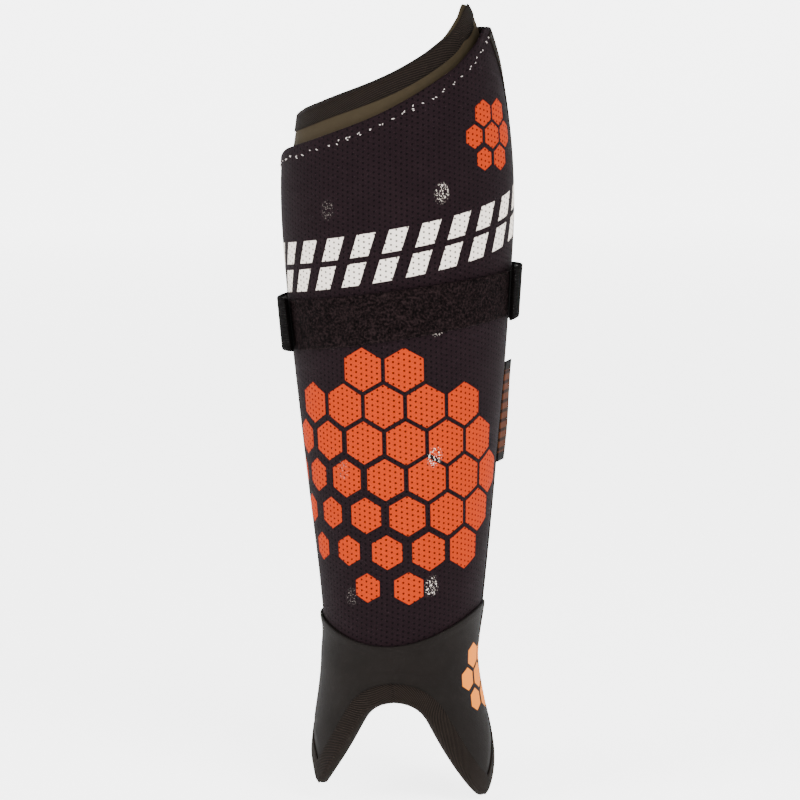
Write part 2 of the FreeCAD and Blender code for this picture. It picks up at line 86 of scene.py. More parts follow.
# Level, half width, depth and sideways shift of the outer surface at each named height of the leg.
STATIONS = {
    "foot": (-14, 40.0, 47.0, -1.0),
    "lobe": (20, 42.4, 43.0, -0.8),
    "neck": (64, 36.0, 39.5, -1.6),
    "ankle": (96, 38.3, 41.0, -0.2),
    "shin": (165, 45.6, 46.0, 0.0),
    "garter": (240, 52.7, 50.0, 0.0),
    "calf": (295, 55.2, 50.5, 0.0),
    "crown": (345, 49.6, 46.5, 0.0),
    "peak": (392, 40.5, 41.0, 0.0),
}
half_width, depth, sway = (
    SmoothCurve([(station[0], station[column]) for station in STATIONS.values()])
    for column in (1, 2, 3)
)

# The top edges as seen from the front: how far across, and how high.
rim = SmoothCurve(
    [(-57, 309.0), (-30, 317.8), (2, 330.2), (31, 347.9), (41, 359.6), (44.5, 367.0), (52, 358.0)]
)
liner_rim = SmoothCurve(
    [(-57, 322.5), (-31, 333.2), (4, 346.9), (27, 361.8), (33.3, 371.2), (35.8, 377.6), (41, 364.0)]
)

COVER_THICKNESS = 1.0
LINER_OUTSIDE = -3.6
LINER_INSIDE = -8.6
LINING_OUTSIDE = -8.7
LINING_INSIDE = -9.5
LINER_LEAN = 2.2
LEAN_START = 285
LEAN_END = 325
ANKLE_SKIN = 1.0
ANKLE_INSIDE = -5.9
TOE_THICKNESS_SHARE = 0.55

FOOT_LEVEL = {-1: 6.5, 1: 0.0}
TAPE_SKIN = 0.7
SEAM_LAP = 8

# The loop band rises towards the outer side, and so do the rows of vents.
BAND_LEVEL = 234.8
BAND_SLOPE = 0.139
VENT_ROWS = 4
VENT_ANGLE = math.radians(29)
VENT_FIRST_LEVEL = 104
VENT_PITCH = 61.3
VENT_RADIUS = 4.3

# Level and how far back the free edge lies: each lobe's own toe and heel, then the shared edge above.
LOBE_BACK = {
    -1: [(6.5, -26), (9.9, -19), (14.5, -16), (20.4, -9), (27, 1), (36, 12)],
    1: [(0, -18), (1.7, -11), (6, -4.5), (16.5, 4), (32, 15)],
}
BODY_BACK = [(51, 20), (92, 12), (170, 17), (285, 20), (330, 14), (361, -2), (386, -15)]
BACK = {side: SmoothCurve(points + BODY_BACK) for side, points in LOBE_BACK.items()}


def back_angle(level, side):
    """The angle round the leg where the free back edge lies at this level."""
    return np.arccos(np.clip(-BACK[side](level) / depth(level), -1, 1))


def smooth_step(low, high, value):
    """0 at low, 1 at high and smooth between. low may be the larger."""
    part = np.clip((value - low) / (high - low), 0, 1)
    return part * part * (3 - 2 * part)


def leaning(offset, level):
    """The liner draws in from the cover near the top."""
    return offset - LINER_LEAN * smooth_step(LEAN_START, LEAN_END, level)


def thinning(offset, level):
    """The lobes of the ankle protector get thinner towards their toes."""
    share = TOE_THICKNESS_SHARE + (1 - TOE_THICKNESS_SHARE) * smooth_step(4, 34, level)
    return np.where(offset < 0, offset * share, offset)


def plain(offset, level):
    """No change: the layer keeps its offset at every level."""
    return offset + 0 * level


def across(angle, level, offset=0):
    """How far a point is from the leg's axis towards the outer side."""
    return sway(level) + (half_width(level) + offset) * np.sin(angle)


def surface(angle, level, offset):
    """Points in metres at these angles round the leg (0 in front, + to the outer side) and levels."""
    x = across(angle, level, offset)
    y = -(depth(level) + offset) * np.cos(angle)
    return np.stack([x, y, level + 0 * x], axis=-1) * MM + LEG_AXIS


def girth_rate(angle, level):
    """Millimetres of cloth per radian."""
    return np.hypot(half_width(level) * np.cos(angle), depth(level) * np.sin(angle))


def girth(angle, level):
    """How far round the cloth a point is from the front line."""
    parts = (np.arange(12) + 0.5) / 12
    return sum(girth_rate(angle * part, level) for part in parts) * angle / len(parts)


# ---- Outlines of the ankle protector -----------------------------------------------------------------

ARCH_TOP = 51.0
ARCH_CENTRE = 0.9
ARCH_RADIUS = 18.4
ARCH_LEG_ANGLE = {-1: math.radians(57.1), 1: math.radians(61.4)}
FOOT_EASE = 1.0


def seam_level(x):
    """The bow where the ankle cover laps over the mesh cover."""
    return 78.3 + 0.0089 * (x + 3) ** 2


def arch_leg(out, side):
    """The straight leg of the arch on one side, eased into the toe of the lobe."""
    lean = ARCH_LEG_ANGLE[side]
    radius = ARCH_RADIUS + TAPE_SKIN
    start_out = radius * math.sin(lean)
    start_level = ARCH_TOP - ARCH_RADIUS + radius * math.cos(lean)
    foot = FOOT_LEVEL[side] + TAPE_SKIN
    leg = start_level - (out - start_out) * math.tan(lean)
    eased = foot + np.logaddexp(0, (leg - foot) / FOOT_EASE) * FOOT_EASE
    crown = ARCH_TOP - ARCH_RADIUS + np.sqrt(np.maximum(radius**2 - out**2, 0))
    return np.where(out < start_out, crown, eased)


def arch_level(x):
    """The lower edge of the ankle protector's cloth, inside the tape that binds it."""
    out = x - ARCH_CENTRE
    return np.where(out < 0, arch_leg(-out, -1), arch_leg(out, 1))


# ---- Grids on the surface ----------------------------------------------------------------------------


def edge_angle(share, level):
    """The angle at this share of the way from the front line to the back edge, - to the inner side."""
    return share * np.where(share < 0, back_angle(level, -1), back_angle(level, 1))


def seen_from_front(curve, offset=0.0, lean=plain):
    """A curve given by how far across it is, as levels at places on one layer of the guard."""
    return lambda angle, level: curve(across(angle, level, lean(offset, level)))


def cover_top(angle, level):
    """The cover's rim, which falls away round the inner side."""
    inner_fall, fall_start, fall_end = 5, math.radians(60), math.radians(98)
    return rim(across(angle, level)) - inner_fall * smooth_step(fall_start, fall_end, -angle)


def liner_top(angle, level):
    return liner_rim(across(angle, level, leaning(LINER_OUTSIDE, level)))


def level_with_rim(angle, level, offset):
    """How far the liner's inner faces rise or sink so that its slanted rim runs level from front to back."""
    outer_reach = across(angle, level, leaning(LINER_OUTSIDE, level))
    reach = across(angle, level, leaning(offset, level))
    near_top = smooth_step(50, 5, liner_rim(outer_reach) - level)
    return (liner_rim(reach) - liner_rim(outer_reach)) * near_top


def level_on(outline, share, low, high):
    """The level at which each share of the way round meets an outline."""
    low = np.full_like(share, low)
    high = np.full_like(share, high)
    for _ in range(40):
        middle = (low + high) / 2
        below = middle < outline(edge_angle(share, middle), middle)
        low = np.where(below, middle, low)
        high = np.where(below, high, middle)
    return (low + high) / 2


def spread(length, step):
    """Shares of a length: even steps, with fine ones next to both ends for a rounded edge."""
    fine = np.array([0, 0.15, 0.45, 0.9, 1.5])
    start = 2.4
    middle = np.linspace(start, length - start, max(2, round((length - 2 * start) / step)))
    return np.concatenate([fine, middle, length - fine[::-1]]) / length


def panel(lower, upper, step=1.7, left=-1.0, right=1.0, bounds=(-10, 395)):
    """Angles and levels of a grid that fills the guard between two outlines."""
    share = left + (right - left) * spread(95 * (right - left), step)
    bottom = level_on(lower, share, bounds[0], bounds[1])
    top = level_on(upper, share, bounds[0], bounds[1])
    rise = spread(float(np.mean(top - bottom)), step)
    level = bottom + (top - bottom) * rise[:, None]
    return edge_angle(share + 0 * level, level), level


def grid_faces(rows, columns):
    corner = np.arange(rows * columns).reshape(rows, columns)
    quads = np.stack([corner[:-1, :-1], corner[:-1, 1:], corner[1:, 1:], corner[1:, :-1]], axis=-1)
    return quads.reshape(-1, 4)


def edge_distance(points, joined=None):
    """How far each grid point is from the grid's nearest edge, in millimetres, but for a joined column."""
    nearest = np.full(points.shape[:2], np.inf)
    for axis in (0, 1):
        steps = np.linalg.norm(np.diff(points, axis=axis), axis=-1) / MM
        start = np.zeros((1, points.shape[1])) if axis == 0 else np.zeros((points.shape[0], 1))
        run = np.concatenate([start, np.cumsum(steps, axis=axis)], axis=axis)
        left = (run[-1:, :] if axis == 0 else run[:, -1:]) - run
        if axis == 0 or joined != 0:
            nearest = np.minimum(nearest, run)
        if axis == 0 or joined != -1:
            nearest = np.minimum(nearest, left)
    return nearest


# ---- Meshes ------------------------------------------------------------------------------------------


def make_mesh(name, points, faces, uv, material, body="guard", flat=()):
    """A mesh object that rides on a body. flat lists the faces that aren't shaded smooth."""
    mesh = bpy.data.meshes.new(name)
    mesh.from_pydata(np.asarray(points).tolist(), [], [list(map(int, face)) for face in faces])
    layer = mesh.uv_layers.new(name="Cloth")
    corners = np.zeros(len(mesh.loops), dtype=np.int32)
    mesh.loops.foreach_get("vertex_index", corners)
    layer.data.foreach_set("uv", np.asarray(uv, np.float32)[corners].ravel())
    smooth = np.ones(len(mesh.polygons), dtype=bool)
    smooth[list(flat)] = False
    mesh.polygons.foreach_set("use_smooth", smooth)
    mesh.materials.append(material)
    piece = bpy.data.objects.new(name, mesh)
    bpy.context.scene.collection.objects.link(piece)
    if body is not None:
        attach(piece, body)
    return piece


def pierce(angle, level, faces, holes):
    """Cuts round holes in a flattened grid: drops the faces inside, and snaps the rim to the circle."""
    for hole_angle, hole_level, radius in holes:
        rate = girth_rate(hole_angle, hole_level)
        dx, dz = (angle - hole_angle) * rate, level - hole_level
        middle = np.hypot(dx[faces].mean(axis=1), dz[faces].mean(axis=1))
        inside = middle < radius
        on_rim = np.intersect1d(faces[inside], faces[~inside])
        scale = radius / np.maximum(np.hypot(dx[on_rim], dz[on_rim]), 1e-6)
        angle[on_rim] = hole_angle + dx[on_rim] * scale / rate
        level[on_rim] = hole_level + dz[on_rim] * scale
        faces = faces[~inside]
    return angle, level, faces


def open_edges(faces):
    """The edges of one face only, in the direction that face runs."""
    edges = np.concatenate([faces[:, [k, (k + 1) % 4]] for k in range(4)])
    code = edges.min(axis=1) * (faces.max() + 1) + edges.max(axis=1)
    _, first, count = np.unique(code, return_index=True, return_counts=True)
    return edges[first[count == 1]]


def level_all_through(angle, level, offset):
    """No slide: all faces of a layer end at the same level."""
    return 0 * level


def slab(
    name, grid, offsets, material, lean=plain, puff=None, holes=(), body="guard", joined=None,
    slide=level_all_through,
):
    """Cloth or foam between two offsets, with rounded edges and holes. A joined column stays square."""
    angle, level = grid
    rows, columns = angle.shape
    near = edge_distance(surface(angle, level, 0 * level), joined).ravel()
    angle, level = angle.ravel().copy(), level.ravel().copy()
    angle, level, faces = pierce(angle, level, grid_faces(rows, columns), holes)
    outer, inner = (lean(offset, level) for offset in offsets)
    if puff is not None:
        outer = outer + puff(angle, level, near)
    half = (outer - inner) / 2
    inward = 1 - np.clip(near / half, 0, 1)
    pull = half * (1 - np.sqrt(1 - inward**2))
    outer_points = surface(angle, level + slide(angle, level, offsets[0]), outer - pull)
    inner_points = surface(angle, level + slide(angle, level, offsets[1]), inner + pull)
    points = np.concatenate([outer_points, inner_points])
    flat_cloth = np.stack([girth(angle, level), level], axis=-1)
    count = len(angle)
    edges = open_edges(faces)
    walls = np.stack([edges[:, 1], edges[:, 0], edges[:, 0] + count, edges[:, 1] + count], axis=-1)
    every = np.concatenate([faces, faces[:, ::-1] + count, walls])
    used = np.unique(every)
    renumber = np.zeros(2 * count, dtype=int)
    renumber[used] = np.arange(len(used))
    flat_faces = []
    if joined is not None:
        at_joint = np.isin(edges, np.arange(rows) * columns + joined % columns).all(axis=1)
        flat_faces = 2 * len(faces) + np.flatnonzero(at_joint)
    uv = np.concatenate([flat_cloth, flat_cloth])[used]
    return make_mesh(name, points[used], renumber[every], uv, material, body, flat_faces)


class Path:
    """A line drawn on the surface, with the direction square to it that lies in the surface."""

    def __init__(self, angle, level, step=1.5):
        angle, level = np.asarray(angle, float), np.asarray(level, float)
        run = self._run(angle, level)
        even = np.linspace(0, run[-1], max(3, round(run[-1] / step)))
        self.angle = np.interp(even, run, angle)
        self.level = np.interp(even, run, level)
        for _ in range(3):
            self.angle[1:-1] = (self.angle[:-2] + 2 * self.angle[1:-1] + self.angle[2:]) / 4
            self.level[1:-1] = (self.level[:-2] + 2 * self.level[1:-1] + self.level[2:]) / 4
        self.run = self._run(self.angle, self.level)
        self.rate = girth_rate(self.angle, self.level)
        along = np.gradient(self.angle) * self.rate
        up = np.gradient(self.level)
        size = np.hypot(along, up)
        self.out = np.stack([-up / size, along / size], axis=-1)

    @staticmethod
    def _run(angle, level):
        steps = np.hypot(np.diff(girth(angle, level)), np.diff(level))
        return np.concatenate([[0], np.cumsum(steps)])

    def beside(self, distance):
        """Angles and levels at this distance to the left of the line."""
        angle = self.angle + self.out[:, 0] * distance / self.rate
        return angle, self.level + self.out[:, 1] * distance

    def at(self, run, distance, offset, lean=plain):
        """The point this far along the line, beside it and off the surface."""
        angle = np.interp(run, self.run, self.angle + self.out[:, 0] * distance / self.rate)
        level = np.interp(run, self.run, self.level + self.out[:, 1] * distance)
        return surface(angle, level, lean(offset, level))


def ribbon(
    name, path, section, material, lean=plain, widen=None, body="guard", slide=level_all_through,
):
    """Sweeps a closed section of (distance beside the line, offset off the surface) along a path."""
    section = np.asarray(section, float)
    widen = np.ones(len(path.run)) if widen is None else widen
    rings = []
    for distance, offset in section:
        angle, level = path.beside(distance * widen)
        rings.append(surface(angle, level + slide(angle, level, offset), lean(offset, level)))
    points = np.stack(rings, axis=1)
    rows, columns = points.shape[:2]
    around = np.concatenate([[0], np.cumsum(np.hypot(*np.diff(section, axis=0).T))])
    uv = np.stack(np.broadcast_arrays(path.run[:, None], around[None, :]), axis=-1).reshape(-1, 2)
    corner = np.arange(rows * columns).reshape(rows, columns)
    wrapped = np.concatenate([corner, corner[:, :1]], axis=1)
    quads = np.stack([wrapped[:-1, 1:], wrapped[1:, 1:], wrapped[1:, :-1], wrapped[:-1, :-1]], axis=-1)
    faces = [list(quad) for quad in quads.reshape(-1, 4)]
    faces.append(list(corner[0, ::-1]))
    faces.append(list(corner[-1]))
    caps = (len(faces) - 2, len(faces) - 1)
    return make_mesh(name, points.reshape(-1, 3), faces, uv, material, body, caps)


def flat_section(low, high, inside, outside, corner=0.5, parts=4):
    """A strap's section: a flat rectangle with rounded ends."""
    points = []
    corners = (
        (high - corner, outside - corner, 0),
        (low + corner, outside - corner, 90),
        (low + corner, inside + corner, 180),
        (high - corner, inside + corner, 270),
    )
    for across_centre, offset_centre, start in corners:
        for k in range(parts + 1):
            turn = math.radians(start + 90 * k / parts)
            points.append((across_centre + corner * math.cos(turn), offset_centre + corner * math.sin(turn)))
    crown = np.linspace(high - corner, low + corner, 9)[1:-1]
    top = parts + 1
    points[top:top] = [(value, outside) for value in crown]
    return points


def fold_section(width, inside, outside, skin=0.7, past=0.7, parts=10):
    """A binding's section: tape folded round an edge, from the outer face over the edge to the inner face."""
    middle, half = (inside + outside) / 2, (outside - inside) / 2
    outer_half = half + skin
    points = [(width, half + 0.05), (width + 0.12, half + skin * 0.5), (width - 0.15, outer_half)]
    points += [(width * share, outer_half) for share in (0.8, 0.6, 0.4, 0.2)]
    for k in range(parts + 1):
        turn = math.radians(90 - 180 * k / parts)
        points.append((1.2 - (past + 1.2) * math.cos(turn), outer_half * math.sin(turn)))
    points += [(width * share, -outer_half) for share in (0.2, 0.4, 0.6, 0.8)]
    points += [(width - 0.15, -outer_half), (width + 0.12, -half - skin * 0.5), (width, -half - 0.05)]
    points += [(width * 0.5, -half - 0.05), (0.4, -half * 0.6), (0.4, half * 0.6), (width * 0.5, half + 0.05)]
    return [(distance, middle + offset) for distance, offset in points[::-1]]


def tube_rings(route, radius, sides=5):
    """Rings of points round a short route of 3-D points, thin at both ends, and their faces."""
    route = np.asarray(route)
    ahead = np.gradient(route, axis=0)
    ahead /= np.linalg.norm(ahead, axis=1, keepdims=True)
    side = np.cross(ahead, [0.31, 0.52, 0.79])
    side /= np.linalg.norm(side, axis=1, keepdims=True)
    up = np.cross(side, ahead)
    thin = radius * np.sin(np.linspace(0.35, math.pi - 0.35, len(route)))[:, None, None]
    turn = 2 * math.pi * np.arange(sides) / sides
    ring = np.cos(turn)[None, :, None] * side[:, None, :] + np.sin(turn)[None, :, None] * up[:, None, :]
    points = (route[:, None, :] + ring * thin).reshape(-1, 3)
    corner = np.arange(len(route) * sides).reshape(-1, sides)
    wrapped = np.concatenate([corner, corner[:, :1]], axis=1)
    quads = np.stack([wrapped[:-1, :-1], wrapped[:-1, 1:], wrapped[1:, 1:], wrapped[1:, :-1]], axis=-1)
    return points, quads.reshape(-1, 4), corner[0, ::-1], corner[-1]


def join_tubes(name, routes, radius, material, body="guard", sides=5):
    """Many short tubes as one mesh, such as a row of stitches."""
    points, faces, start = [], [], 0
    for route in routes:
        ring_points, quads, first, last = tube_rings(route, radius, sides)
        points.append(ring_points)
        faces += [list(face + start) for face in (*quads, first, last)]
        start += len(ring_points)
    points = np.concatenate(points)
    uv = points[:, [0, 2]] / MM
    return make_mesh(name, points, faces, uv, material, body)


def fleck_routes(path, distance, pitch, seed):
    """Short bright threads in little clusters along a seam."""
    chance = random.Random(seed)
    routes = []
    for cluster in np.arange(pitch / 2, path.run[-1] - pitch / 2, pitch):
        for _ in range(chance.choice((1, 2, 2, 3))):
            start = cluster + chance.uniform(-1.3, 1.3)
            beside = distance + chance.uniform(-0.9, 0.9)
            reach, climb = chance.uniform(0.4, 1.1), chance.uniform(-0.9, 0.9)
            shares = np.linspace(0, 1, 5)
            lifts = 0.15 + 0.3 * np.sin(math.pi * shares)
            routes.append([path.at(start + reach * share, beside + climb * share, lift)
                           for share, lift in zip(shares, lifts)])
    return routes


# ---- Shader fields -----------------------------------------------------------------------------------


class Field:
    """A number that varies over a surface, made of shader nodes."""

    def __init__(self, tree, socket):
        self.tree, self.socket = tree, socket

    def _math(self, operation, *others):
        node = self.tree.nodes.new("ShaderNodeMath")
        node.operation = operation
        for slot, value in enumerate((self, *others)):
            if isinstance(value, Field):
                self.tree.links.new(value.socket, node.inputs[slot])
            else:
                node.inputs[slot].default_value = value
        return Field(self.tree, node.outputs[0])

    def __add__(self, other):
        return self._math("ADD", other)

    def __sub__(self, other):
        return self._math("SUBTRACT", other)

    def __mul__(self, other):
        return self._math("MULTIPLY", other)

    def __truediv__(self, other):
        return self._math("DIVIDE", other)

    def fract(self):
        return self._math("FRACT")

    def floor(self):
        return self._math("FLOOR")

    def absolute(self):
        return self._math("ABSOLUTE")

    def largest(self, other):
        return self._math("MAXIMUM", other)

    def smallest(self, other):
        return self._math("MINIMUM", other)

    def sine(self):
        return self._math("SINE")

    def power(self, other):
        return self._math("POWER", other)

    def fade(self, low, high):
        """0 below low, 1 above high and smooth between. low may be the larger, to fade out."""
        node = self.tree.nodes.new("ShaderNodeMapRange")
        node.interpolation_type = "SMOOTHSTEP"
        self.tree.links.new(self.socket, node.inputs["Value"])
        node.inputs["From Min"].default_value = min(low, high)
        node.inputs["From Max"].default_value = max(low, high)
        node.inputs["To Min"].default_value = 0.0 if low < high else 1.0
        node.inputs["To Max"].default_value = 1.0 if low < high else 0.0
        return Field(self.tree, node.outputs["Result"])


def length_of(x, y):
    return (x * x + y * y).power(0.5)


class Surface:
    """A material being made: its Principled shader, its cloth coordinates in millimetres, and noises."""

    def __init__(self, name, roughness=0.8, specular=0.5):
        self.material = bpy.data.materials.new(name)
        self.material.use_nodes = True
        self.tree = self.material.node_tree
        self.shader = self.tree.nodes["Principled BSDF"]
        self.shader.inputs["Roughness"].default_value = roughness
        self.shader.inputs["Specular IOR Level"].default_value = specular

    def _node(self, kind):
        return self.tree.nodes.new(kind)

    def cloth(self):
        """How far round and how high a point is, in millimetres of cloth."""
        uv = self._node("ShaderNodeUVMap")
        uv.uv_map = "Cloth"
        split = self._node("ShaderNodeSeparateXYZ")
        self.tree.links.new(uv.outputs["UV"], split.inputs[0])
        return Field(self.tree, split.outputs["X"]), Field(self.tree, split.outputs["Y"])

    def noise(self, per_metre, detail=3.0, rough=0.55):
        where = self._node("ShaderNodeTexCoord")
        noise = self._node("ShaderNodeTexNoise")
        noise.inputs["Scale"].default_value = per_metre
        noise.inputs["Detail"].default_value = detail
        noise.inputs["Roughness"].default_value = rough
        self.tree.links.new(where.outputs["Object"], noise.inputs["Vector"])
        return Field(self.tree, noise.outputs["Fac"])

    def colour(self, start, *layers):
        """A base colour, with (amount, colour) layers painted over it in turn."""
        previous = None
        for amount, paint in layers:
            mix = self._node("ShaderNodeMix")
            mix.data_type = "RGBA"
            self.tree.links.new(amount.socket, mix.inputs["Factor"])
            if previous is None:
                mix.inputs["A"].default_value = (*start, 1)
            else:
                self.tree.links.new(previous, mix.inputs["A"])
            mix.inputs["B"].default_value = (*paint, 1)
            previous = mix.outputs["Result"]
        self.tree.links.new(previous, self.shader.inputs["Base Color"])

    def roughness(self, field):
        self.tree.links.new(field.socket, self.shader.inputs["Roughness"])

    def relief(self, *heights):
        """Bumps stacked on each other: (height field, depth in millimetres)."""
        previous = None
        for field, height in heights:
            bump = self._node("ShaderNodeBump")
            bump.inputs["Strength"].default_value = 1.0
            bump.inputs["Distance"].default_value = height * MM
            self.tree.links.new(field.socket, bump.inputs["Height"])
            if previous is not None:
                self.tree.links.new(previous, bump.inputs["Normal"])
            previous = bump.outputs["Normal"]
        self.tree.links.new(previous, self.shader.inputs["Normal"])


INK = (0.0036, 0.0016, 0.0022)
# Painted shade: near black for the shade inside the mesh's small holes.
HOLE_SHADE = (0.0005, 0.0003, 0.0004)
ORANGE = (0.225, 0.0165, 0.001)
ORANGE_PALE = (0.42, 0.115, 0.006)
WHITE_PRINT = (0.52, 0.47, 0.42)
HOLE_PITCH = (2.55, 2.6)


def knit_holes(x, y):
    """1 in the small holes of the mesh, 0 on its yarns. Each column of holes sits a little lower."""
    across_pitch, up_pitch = HOLE_PITCH
    column = (x / across_pitch).floor()
    dx = ((x / across_pitch).fract() - 0.5) * across_pitch
    dy = ((y / up_pitch + column * 0.3).fract() - 0.5) * up_pitch
    return length_of(dx, dy).fade(0.62, 0.3)


def knit_chevrons(x, y):
    """Yarns that run up and down between the columns of holes, 0 to 1."""
    across_pitch, up_pitch = HOLE_PITCH
    dx = ((x / across_pitch).fract() - 0.5).absolute() * across_pitch
    return ((y + dx * 1.6) * (2 * math.pi / (up_pitch / 2))).sine() * 0.5 + 0.5


def hexagon_distance(dx, dy):
    """How far a point is from a hexagon's middle, counted square to its nearest side."""
    flat = dx.absolute()
    slanted = dx.absolute() * 0.5 + dy.absolute() * (math.sqrt(3) / 2)
    return flat.largest(slanted)


def honeycomb(x, y, pitch):
    """The distance from the nearest honeycomb cell's middle, and that middle."""
    rise = pitch * math.sqrt(3)
    row_middles = []
    for shift in (0.0, 0.5):
        cx = ((x / pitch + shift).floor() + (0.5 - shift)) * pitch
        cy = ((y / rise + shift).floor() + (0.5 - shift)) * rise
        row_middles.append((cx, cy, hexagon_distance(x - cx, y - cy)))
    (ax, ay, a), (bx, by, b) = row_middles
    nearer_b = (a - b).fade(-0.0001, 0.0001)
    middle_x = ax + (bx - ax) * nearer_b
    middle_y = ay + (by - ay) * nearer_b
    return a.smallest(b), middle_x, middle_y


def honeycomb_patch(x, y, centre, radius, pitch, gap, thin):
    """Cells of a honeycomb inside a round patch. They shrink from its upper right to its lower left."""
    dx, dy = x - centre[0], y - centre[1]
    nearest, cell_x, cell_y = honeycomb(dx, dy, pitch)
    reach = length_of(cell_x * radius[1] / radius[0], cell_y)
    kept = reach.fade(radius[1] + 0.01, radius[1])
    slide = (cell_x + cell_y).fade(-radius[1] * 1.5, radius[1] * 0.4)
    cell = (slide * thin + (1 - thin)) * (pitch / 2 - gap)
    return (cell - nearest).fade(-0.12, 0.12) * kept


# ---- Materials ---------------------------------------------------------------------------------------


def mesh_fabric():
    """Printed knitted mesh: small holes, an orange honeycomb and a band of slanted white bars."""
    made = Surface("mesh_fabric", 0.85, specular=0.03)
    x, y = made.cloth()
    holes = knit_holes(x, y)
    chevrons = knit_chevrons(x, y)
    cloudy = made.noise(60, 3)
    orange = honeycomb_patch(x, y, centre=(-1, 158), radius=(61, 53.2), pitch=20.0, gap=1.0, thin=0.35)
    small = honeycomb_patch(x, y, centre=(58, 317), radius=(17, 21), pitch=12.2, gap=0.7, thin=0.2)
    made.colour(
        INK,
        (cloudy.fade(0.35, 0.75) * 0.5, (0.0056, 0.0028, 0.0036)),
        # Painted highlight: the raised yarns between the holes are painted lighter, and the orange and white
        # print a little stronger on them.
        (chevrons * 0.4, (0.0068, 0.0042, 0.0052)),
        (orange.largest(small) * (chevrons * 0.16 + 0.84), ORANGE),
        (white_bars(x, y) * (chevrons * 0.14 + 0.86), WHITE_PRINT),
        # Painted shade: the knit's small holes are painted near black, for the shade inside them.
        (holes * 0.9, HOLE_SHADE),
        # Painted light: specks of the bright backdrop seen through the mesh over the vents, in the print's
        # white.
        (vent_backdrop_light(x, y, made.noise(1500, 1)), WHITE_PRINT),
    )
    made.relief((holes * -1 + 1, 0.25), (chevrons, 0.1), (made.noise(900, 2), 0.05))
    return made.material


def white_bars(x, y):
    """A slanted band of leaning bars above the strap."""
    pitch, half_width_of_bar, half_height, half_cut = 15.5, 4.6, 11.9, 1.4
    high = y - (x * 0.165 + 263.0 + x * x * 0.0006)
    leant = x + high * -0.35
    beside = ((leant / pitch + 0.27).fract() - 0.5).absolute() * pitch
    bars = beside.fade(half_width_of_bar, half_width_of_bar - 0.2)
    rows = high.absolute().fade(half_height, half_height - 0.3)
    return bars * rows * (high.absolute() - half_cut).fade(-0.15, 0.15)


def vent_backdrop_light(x, y, speckle):
    """Painted light: pale specks where the bright backdrop would show through the mesh over each vent, mostly
    on the outer side.
    """
    row = ((y - VENT_FIRST_LEVEL - x * BAND_SLOPE) / VENT_PITCH + 0.5).fract() - 0.5
    near = length_of((x.absolute() - y * 0.0425 - 15.5) * 1.35, row * VENT_PITCH).fade(5.6, 3.2)
    return near * speckle.fade(0.58, 0.66) * (x.fade(-1, 1) * 0.8 + 0.12)


def foam():
    made = Surface("foam", 0.9, specular=0.05)
    made.colour((0.022, 0.0165, 0.0092), (made.noise(260, 4), (0.017, 0.0125, 0.0072)))
    made.relief((made.noise(1500, 2), 0.08))
    return made.material


def twill(name, base, light, pitch=1.2):
    """Narrow woven tape with slanted ribs."""
    made = Surface(name, 0.85, specular=0.03)
    x, y = made.cloth()
    ribs = ((x + y * 1.2) * (2 * math.pi / pitch)).sine() * 0.5 + 0.5
    cross = ((x * 0.9 - y) * (2 * math.pi / (pitch * 0.6))).sine() * 0.5 + 0.5
    made.colour(base, (ribs * ribs * (cross * 0.4 + 0.6), light))
    made.relief((ribs, 0.16), (cross, 0.04), (made.noise(1200, 2), 0.06))
    return made.material


def loop_pile():
    made = Surface("loop_pile", 0.95, specular=0.03)
    made.colour((0.0006, 0.0003, 0.0003), (made.noise(900, 4).fade(0.38, 0.68), (0.0085, 0.005, 0.0053)))
    made.relief((made.noise(900, 4), 0.5), (made.noise(3000, 2), 0.2))
    return made.material


def webbing():
    """Elastic webbing: fine ribs along it and a tight cross weave."""
    made = Surface("webbing", 0.95, specular=0.01)
    x, y = made.cloth()
    ribs = (y * (2 * math.pi / 1.3)).sine() * 0.5 + 0.5
    cross = (x * (2 * math.pi / 0.7)).sine() * 0.5 + 0.5
    made.colour((0.0004, 0.0003, 0.0003), (ribs * cross, (0.0022, 0.0015, 0.0014)))
    made.relief((ribs, 0.2), (cross, 0.1))
    return made.material


def hook_tape():
    made = Surface("hook_tape", 0.6, specular=0.1)
    x, y = made.cloth()
    grid = (x * (2 * math.pi / 1.1)).sine() * (y * (2 * math.pi / 1.1)).sine()
    made.colour((0.0012, 0.001, 0.001), (grid.fade(0.2, 0.7), (0.006, 0.0055, 0.005)))
    made.relief((grid, 0.4))
    return made.material


def ankle_knit():
    """Smooth stretch knit over foam."""
    made = Surface("ankle_knit", 0.8, specular=0.06)
    x, y = made.cloth()
    rows = (y * (2 * math.pi / 0.62)).sine() * 0.5 + 0.5
    wales = (x * (2 * math.pi / 0.5)).sine() * 0.5 + 0.5
    small = honeycomb_patch(x, y, centre=(55, 59), radius=(14, 20.5), pitch=12.0, gap=0.7, thin=0.2)
    made.colour(
        (0.0026, 0.0019, 0.0015),
        (made.noise(60, 3).fade(0.3, 0.8) * 0.6, (0.0042, 0.0032, 0.0026)),
        (small, ORANGE_PALE),
    )
    made.relief((rows * wales, 0.05), (made.noise(420, 3), 0.1))
    return made.material


def lining_cloth():
    made = Surface("lining_cloth", 0.9, specular=0.05)
    x, y = made.cloth()
    ribs = ((x + y) * (2 * math.pi / 1.6)).sine() * ((x - y) * (2 * math.pi / 1.6)).sine()
    made.colour((0.005, 0.0045, 0.0042), (ribs.fade(-0.4, 0.8), (0.012, 0.011, 0.010)))
    made.relief((ribs, 0.12), (made.noise(800, 3), 0.1))
    return made.material


